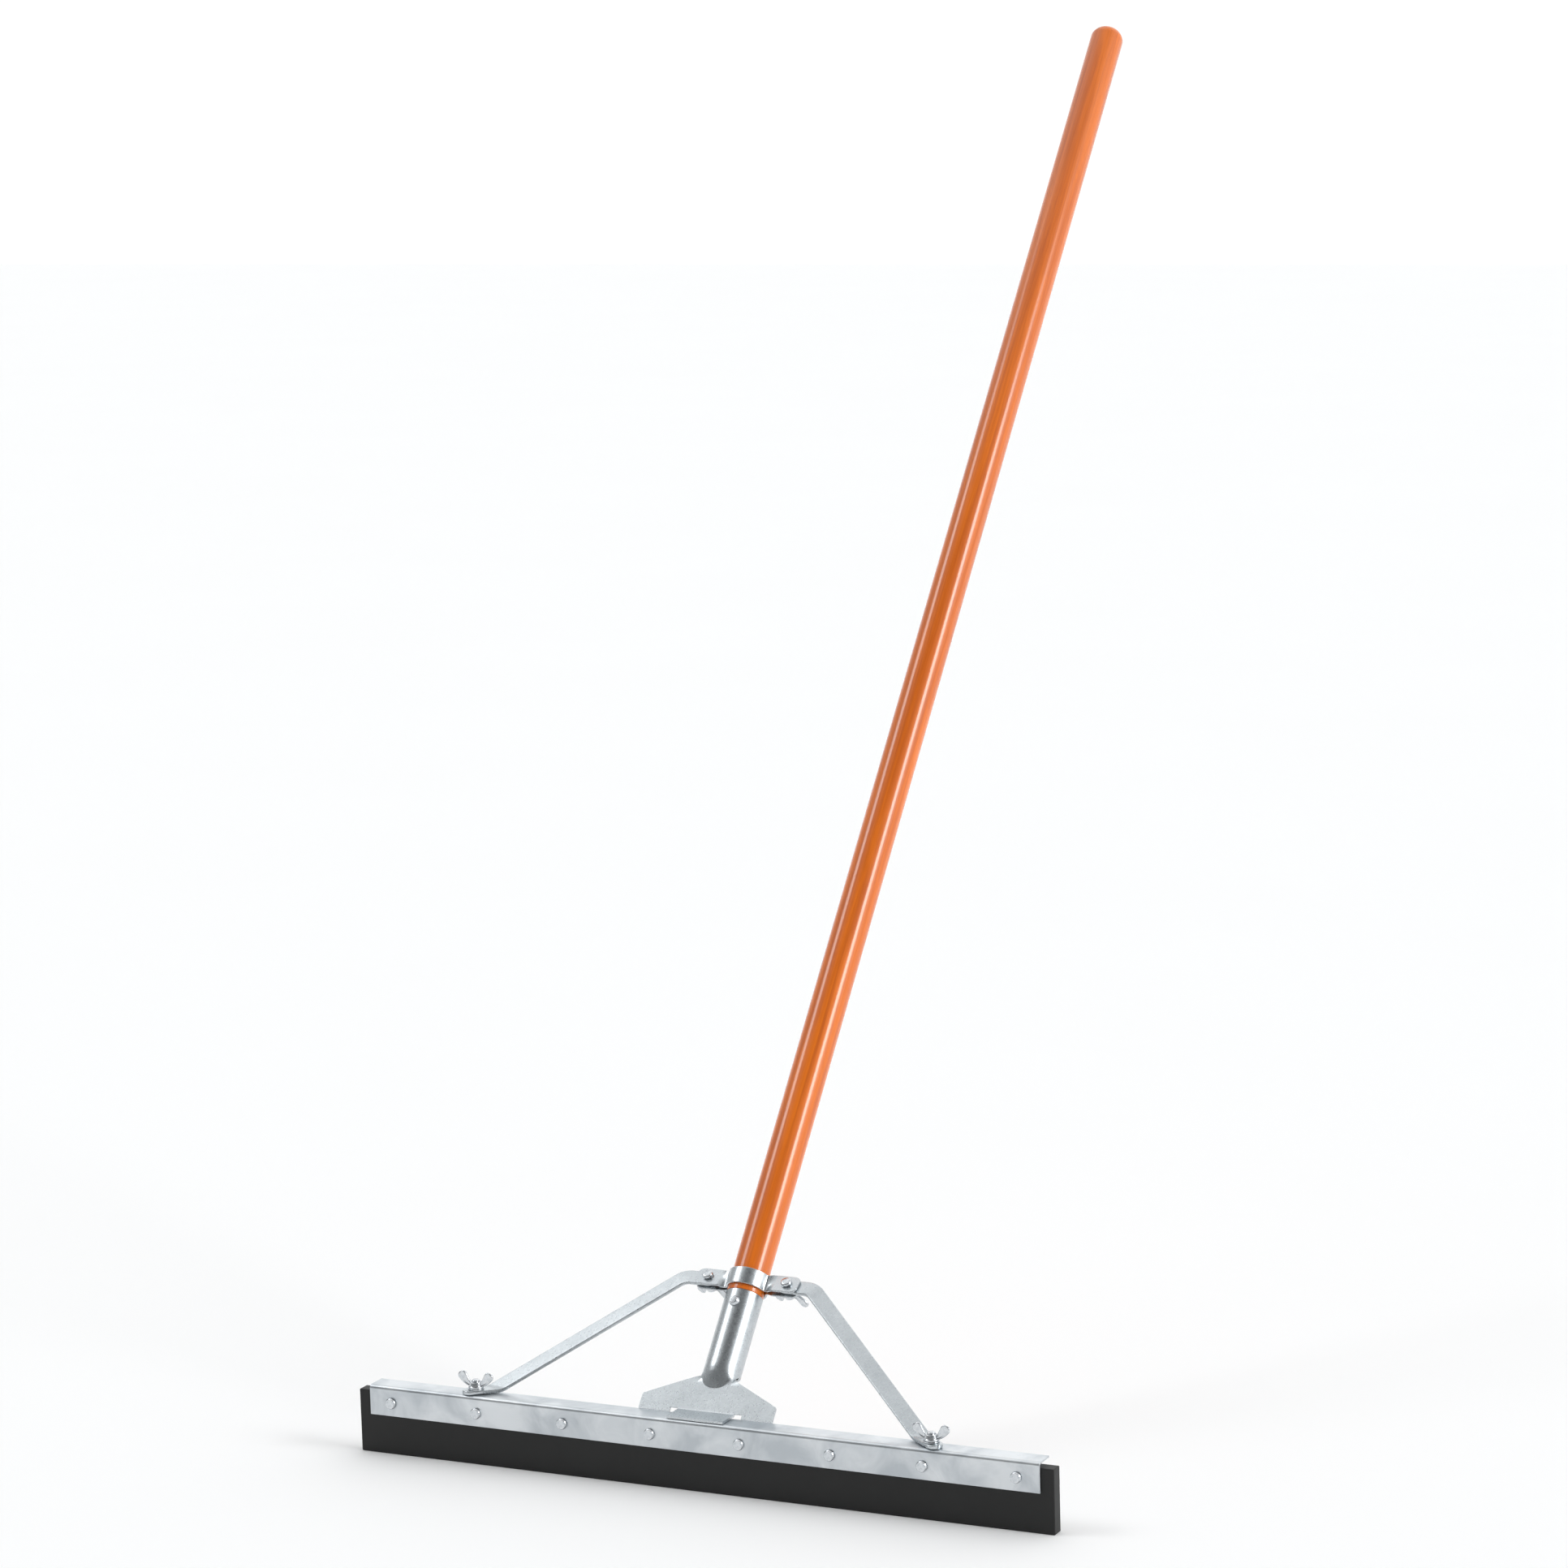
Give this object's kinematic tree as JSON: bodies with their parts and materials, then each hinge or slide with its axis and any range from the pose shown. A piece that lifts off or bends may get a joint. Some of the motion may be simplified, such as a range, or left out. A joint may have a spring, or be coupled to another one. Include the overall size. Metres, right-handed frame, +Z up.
{
  "type": "floor squeegee",
  "caption": "Heavy-duty straight floor squeegee: rubber blade riveted in a steel frame, long lacquered wooden handle in a pressed socket, steadied by diagonal braces with wing nuts.",
  "frame": {"origin": "middle of the rubber blade's bottom edge, on the floor", "axes": "+X along the head to the right seen from the front, +Y to the back, the way the handle leans, +Z up"},
  "size_m": [0.5794, 0.8866, 1.0648],
  "materials": {
    "frame": "zinc-plated pressed steel, cloudy grey",
    "frame_back": "zinc-plated flat strip",
    "rubber": "solid black moulded rubber, cut edges",
    "rivet": "zinc-plated flat-headed rivet",
    "bracket": "galvanised pressed steel with fine spangle",
    "wood": "stained hardwood under clear gloss lacquer",
    "screw": "bright zinc-plated screw",
    "clamp": "galvanised pressed steel",
    "brace": "galvanised flat steel bar with rounded edges",
    "bolt": "bright zinc-plated bolt",
    "washer": "bright zinc-plated washer",
    "wing_nut": "bright zinc-plated wing nut"
  },
  "bodies": {
    "squeegee": {"frame_front": "frame", "frame_back": "frame_back", "rubber_blade": "rubber", "rivet_1": "rivet", "rivet_2": "rivet", "rivet_3": "rivet", "rivet_4": "rivet", "rivet_5": "rivet", "rivet_6": "rivet", "rivet_7": "rivet", "rivet_8": "rivet", "socket_bracket": "bracket", "socket_screw": "screw", "handle": "wood", "clamp_front": "clamp", "clamp_back": "clamp", "brace_left": "brace", "brace_right": "brace", "clamp_bolt_left": "bolt", "clamp_bolt_right": "bolt", "foot_bolt_left": "bolt", "foot_bolt_right": "bolt"},
    "foot_washer_left": {"foot_washer_left": "washer"},
    "foot_wing_nut_left": {"foot_wing_nut_left": "wing_nut"},
    "foot_washer_right": {"foot_washer_right": "washer"},
    "foot_wing_nut_right": {"foot_wing_nut_right": "wing_nut"},
    "clamp_washer_left": {"clamp_washer_left": "washer"},
    "clamp_wing_nut_left": {"clamp_wing_nut_left": "wing_nut"},
    "clamp_washer_right": {"clamp_washer_right": "washer"},
    "clamp_wing_nut_right": {"clamp_wing_nut_right": "wing_nut"}
  },
  "joints": [
    {"name": "foot_nut_left_travel", "type": "slide", "parent": "squeegee", "child": "foot_washer_left", "axis": [0, 0, 1], "range_m": [0, 0.0051]},
    {"name": "foot_nut_left_turn", "type": "hinge", "parent": "foot_washer_left", "child": "foot_wing_nut_left", "pos_m": [-0.1903, 0.00175, 0.0588], "axis": [0, 0, 1], "range_deg": [0, 1440]},
    {"name": "foot_nut_right_travel", "type": "slide", "parent": "squeegee", "child": "foot_washer_right", "axis": [0, 0, 1], "range_m": [0, 0.0051]},
    {"name": "foot_nut_right_turn", "type": "hinge", "parent": "foot_washer_right", "child": "foot_wing_nut_right", "pos_m": [0.1903, 0.00175, 0.0588], "axis": [0, 0, 1], "range_deg": [0, 1440]},
    {"name": "clamp_nut_left_travel", "type": "slide", "parent": "squeegee", "child": "clamp_washer_left", "axis": [0, 0.4985, -0.8669], "range_m": [0, 0.0051]},
    {"name": "clamp_nut_left_turn", "type": "hinge", "parent": "clamp_washer_left", "child": "clamp_wing_nut_left", "pos_m": [-0.0332, 0.0942, 0.13098], "axis": [0, 0.4985, -0.8669], "range_deg": [0, 1440]},
    {"name": "clamp_nut_right_travel", "type": "slide", "parent": "squeegee", "child": "clamp_washer_right", "axis": [0, 0.4985, -0.8669], "range_m": [0, 0.0051]},
    {"name": "clamp_nut_right_turn", "type": "hinge", "parent": "clamp_washer_right", "child": "clamp_wing_nut_right", "pos_m": [0.0332, 0.0942, 0.13098], "axis": [0, 0.4985, -0.8669], "range_deg": [0, 1440]}
  ],
  "couplings": [
    {"joint": "foot_nut_left_travel", "follows": "foot_nut_left_turn", "m_per_rad": 0.00020213},
    {"joint": "foot_nut_right_travel", "follows": "foot_nut_right_turn", "m_per_rad": 0.00020213},
    {"joint": "clamp_nut_left_travel", "follows": "clamp_nut_left_turn", "m_per_rad": 0.00020213},
    {"joint": "clamp_nut_right_travel", "follows": "clamp_nut_right_turn", "m_per_rad": 0.00020213}
  ]
}
